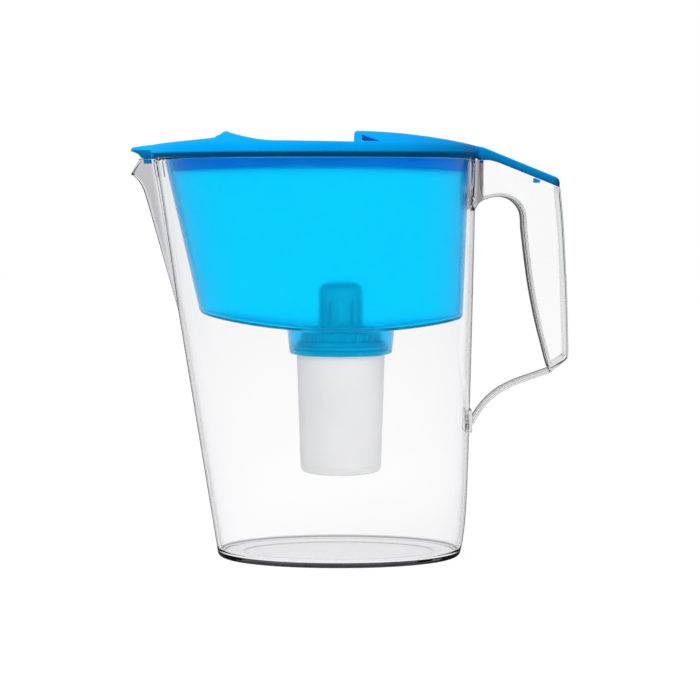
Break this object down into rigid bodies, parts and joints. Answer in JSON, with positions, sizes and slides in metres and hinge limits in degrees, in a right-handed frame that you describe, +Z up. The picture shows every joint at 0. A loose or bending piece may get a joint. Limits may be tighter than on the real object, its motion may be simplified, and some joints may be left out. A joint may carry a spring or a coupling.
{
  "type": "water filter pitcher",
  "caption": "Clear oval jug with a spout and a hollow handle, a blue reservoir hung in it, a filter cartridge in the reservoir and a blue lid with a flip-up fill flap.",
  "frame": {"origin": "in the plane of the table, under the middle of the foot, on the plane of symmetry", "axes": "+Z up, +X towards the handle, the spout towards -X, +Y to the side"},
  "size_m": [0.2642, 0.1096, 0.2573],
  "materials": {
    "clear_plastic": "clear, glossy",
    "aqua_plastic": "translucent, smooth",
    "blue_plastic": "satin",
    "white_plastic": "fine matt",
    "seal_rubber": "soft, matt",
    "mesh_fabric": "fine mesh",
    "carbon_grains": "grains",
    "resin_beads": "beads"
  },
  "bodies": {
    "jug": {"jug": "clear_plastic", "handle": "clear_plastic"},
    "reservoir": {"reservoir": "aqua_plastic"},
    "lid": {"lid": "blue_plastic"},
    "flap": {"flap": "blue_plastic"},
    "cartridge": {"cartridge_body": "white_plastic", "cartridge_cap": "white_plastic", "cartridge_base": "white_plastic", "cartridge_seal": "seal_rubber", "inlet_mesh": "mesh_fabric", "carbon_bed": "carbon_grains", "resin_bed": "resin_beads", "outlet_mesh": "mesh_fabric"}
  },
  "joints": [
    {"name": "reservoir_lift", "type": "slide", "parent": "jug", "child": "reservoir", "axis": [0, 0, 1], "range_m": [0, 0.195]},
    {"name": "lid_lift", "type": "slide", "parent": "reservoir", "child": "lid", "axis": [0, 0, 1], "range_m": [0, 0.06]},
    {"name": "flap_hinge", "type": "hinge", "parent": "lid", "child": "flap", "pos_m": [0.0054, 0, 0.2488], "axis": [0, 1, 0], "range_deg": [0, 100]},
    {"name": "cartridge_lift", "type": "slide", "parent": "reservoir", "child": "cartridge", "axis": [0, 0, 1], "range_m": [0, 0.075]}
  ]
}
